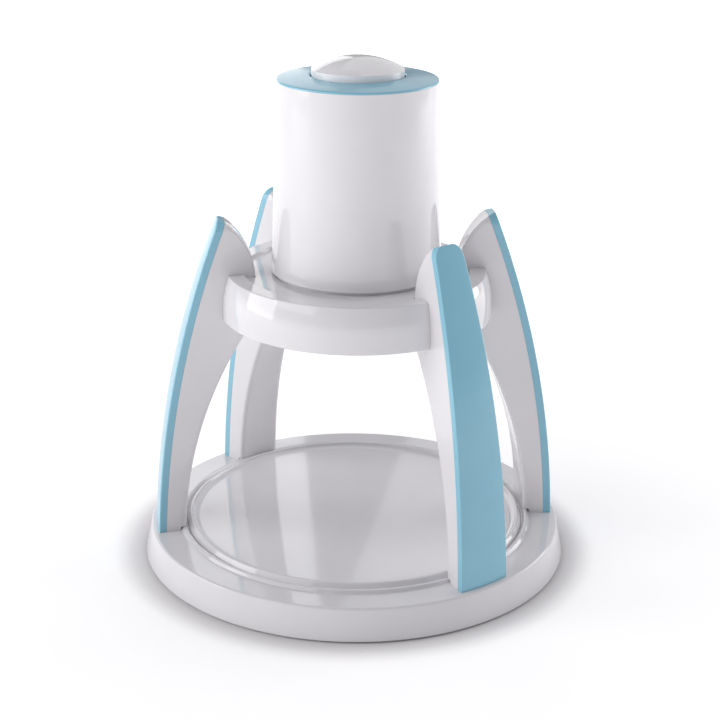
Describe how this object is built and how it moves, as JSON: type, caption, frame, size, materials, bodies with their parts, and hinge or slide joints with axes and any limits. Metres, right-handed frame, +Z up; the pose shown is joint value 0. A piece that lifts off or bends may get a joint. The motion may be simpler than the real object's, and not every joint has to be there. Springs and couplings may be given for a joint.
{
  "type": "shaved ice machine",
  "caption": "Electric shaved ice machine: round base, curved legs with blue trims, blade collar and a lift-off motor unit with a dome press button.",
  "frame": {"origin": "centre of the base at the level of the rubber feet, on the machine's vertical axis", "axes": "+Z up; -Y is the front, where the bowl goes in; +X is to the right seen from the front"},
  "size_m": [0.26, 0.26, 0.3044],
  "materials": {
    "gloss_white_plastic": "gloss",
    "satin_blue_plastic": "satin",
    "white_inner_plastic": "satin",
    "clear_plastic": "clear gloss",
    "black_plastic": "satin",
    "natural_nylon": "satin",
    "rubber": "matte",
    "stainless_steel": "brushed",
    "spring_steel": "drawn",
    "zinc_steel": "zinc plated",
    "sintered_bronze": "matt",
    "brass_plate": "satin",
    "laminated_iron": "dark satin",
    "lead_insulation": "satin"
  },
  "bodies": {
    "stand": {"base_shell": "gloss_white_plastic", "base_bottom_cover": "white_inner_plastic", "rubber_feet": "rubber", "base_cover_screws": "zinc_steel", "serving_plate": "gloss_white_plastic", "leg_front_left": "gloss_white_plastic", "leg_front_right": "gloss_white_plastic", "leg_back_left": "gloss_white_plastic", "leg_back_right": "gloss_white_plastic", "leg_trim_front_left": "satin_blue_plastic", "leg_trim_front_right": "satin_blue_plastic", "leg_trim_back_left": "satin_blue_plastic", "leg_trim_back_right": "satin_blue_plastic", "leg_foot_screws": "zinc_steel", "leg_collar_screws": "zinc_steel", "collar_ring": "gloss_white_plastic", "collar_bottom_cover": "white_inner_plastic", "collar_cover_screws": "zinc_steel", "discharge_chute": "white_inner_plastic", "blade_plate": "white_inner_plastic", "blade_plate_screws": "zinc_steel", "shaving_blade": "stainless_steel", "blade_screws": "stainless_steel", "ice_cup": "clear_plastic", "seat_damper_ring": "rubber"},
    "motor_unit": {"housing_shell": "gloss_white_plastic", "top_cap": "satin_blue_plastic", "gearbox_lower_plate": "zinc_steel", "gearbox_upper_plate": "zinc_steel", "gearbox_posts": "zinc_steel", "gearbox_screws": "zinc_steel", "drive_bush_lower": "sintered_bronze", "drive_bush_upper": "sintered_bronze", "idler_axle": "stainless_steel", "motor_can": "zinc_steel", "motor_end_cap": "black_plastic", "motor_screws": "zinc_steel", "run_switch": "black_plastic", "power_inlet": "black_plastic", "inlet_pins": "brass_plate", "internal_leads": "lead_insulation"},
    "drive_sleeve": {"drive_gear": "natural_nylon", "spring_washer": "zinc_steel", "pusher_spring": "spring_steel"},
    "idler": {"idler_gear": "natural_nylon"},
    "motor_rotor": {"motor_armature": "laminated_iron", "motor_pinion": "brass_plate"},
    "ice_pusher": {"pusher_shaft": "stainless_steel", "pusher_disc": "natural_nylon", "pusher_spikes": "stainless_steel", "shaft_clip": "spring_steel"},
    "run_button": {"dome_button": "gloss_white_plastic", "button_clip": "spring_steel", "switch_plunger": "black_plastic", "button_spring": "spring_steel"}
  },
  "joints": [
    {"name": "housing_lift", "type": "slide", "parent": "stand", "child": "motor_unit", "axis": [0, 0, 1], "range_m": [0, 0.075]},
    {"name": "drive_turn", "type": "hinge", "parent": "motor_unit", "child": "drive_sleeve", "pos_m": [0, 0, 0.232], "axis": [0, 0, 1], "continuous": true},
    {"name": "idler_turn", "type": "hinge", "parent": "motor_unit", "child": "idler", "pos_m": [0.02022, -0.01634, 0.235], "axis": [0, 0, 1], "continuous": true},
    {"name": "motor_turn", "type": "hinge", "parent": "motor_unit", "child": "motor_rotor", "pos_m": [0, -0.025, 0.26], "axis": [0, 0, 1], "continuous": true},
    {"name": "pusher_feed", "type": "slide", "parent": "drive_sleeve", "child": "ice_pusher", "axis": [0, 0, 1], "range_m": [0, 0.036], "stiffness_N_per_m": 150, "springref_m": -0.02, "deforming": ["pusher_spring"]},
    {"name": "button_press", "type": "slide", "parent": "motor_unit", "child": "run_button", "axis": [0, 0, 1], "range_m": [-0.003, 0], "stiffness_N_per_m": 600, "springref_m": 0.003, "deforming": ["button_spring"]}
  ],
  "couplings": [
    {"joint": "idler_turn", "follows": "drive_turn", "ratio": -3.3333},
    {"joint": "motor_turn", "follows": "drive_turn", "ratio": 8.8889}
  ]
}
